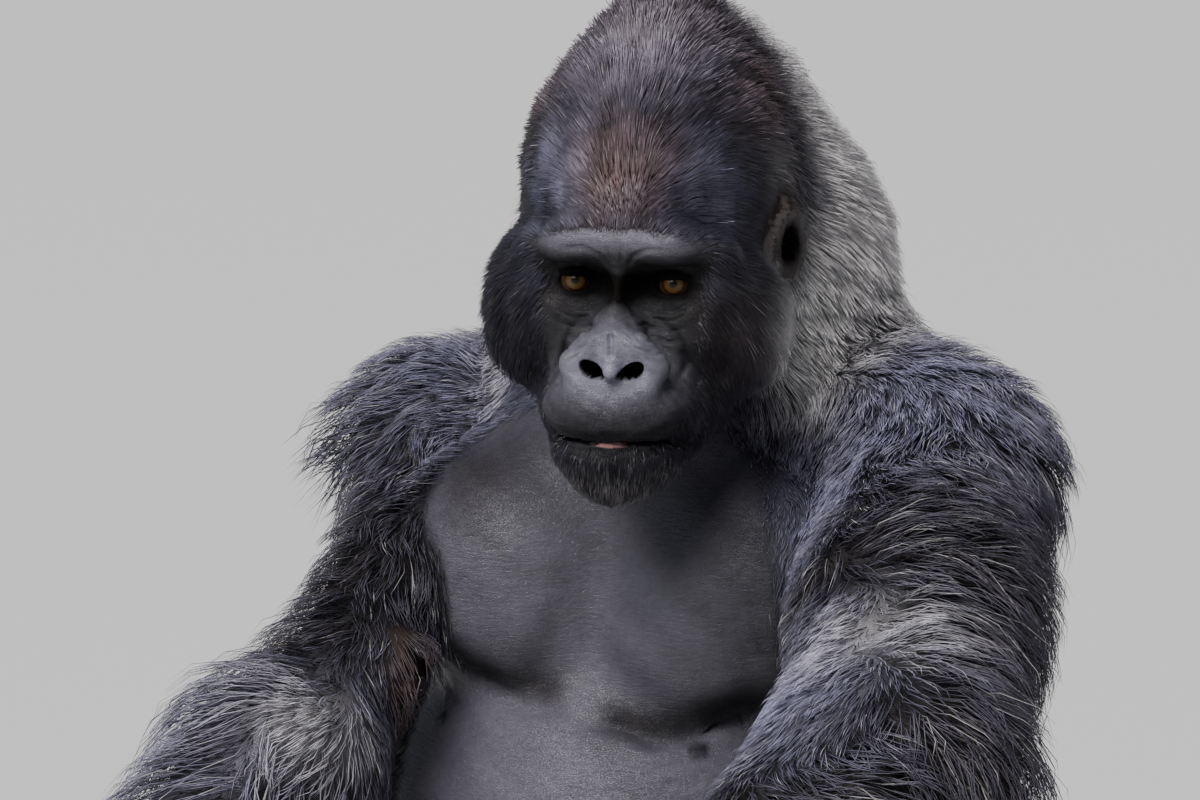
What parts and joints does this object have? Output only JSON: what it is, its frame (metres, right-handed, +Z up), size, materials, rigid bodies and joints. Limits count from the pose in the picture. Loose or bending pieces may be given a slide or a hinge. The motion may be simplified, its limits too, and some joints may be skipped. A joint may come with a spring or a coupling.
{
  "type": "life-size seated gorilla figure",
  "caption": "Still, life-size figure of an adult male western lowland gorilla, seated on the floor with its forearms over its raised knees and its head turned slightly to its left.",
  "frame": {"origin": "on the floor, under the middle of the figure's box", "axes": "+Z up, the animal faces -Y, its left side is +X"},
  "size_m": [0.793, 0.906, 1.0789],
  "materials": {
    "skin": "satin, bare blue-black hide",
    "coat": "long near-black hair with pale tips",
    "crown": "short brown-red hair",
    "silver": "grey and silver hair",
    "eye": "wet, amber iris on a dark eyeball"
  },
  "bodies": {
    "root": {"eye_left": "eye", "eye_right": "eye", "head": "crown", "ear_left": "skin", "ear_right": "skin", "neck": "silver", "chest": "skin", "belly_and_rump": "coat", "upper_arm_left": "coat", "forearm_left": "coat", "hand_left": "skin", "thigh_left": "coat", "shin_left": "coat", "foot_left": "skin", "upper_arm_right": "coat", "forearm_right": "coat", "hand_right": "skin", "thigh_right": "coat", "shin_right": "coat", "foot_right": "skin"}
  },
  "joints": []
}
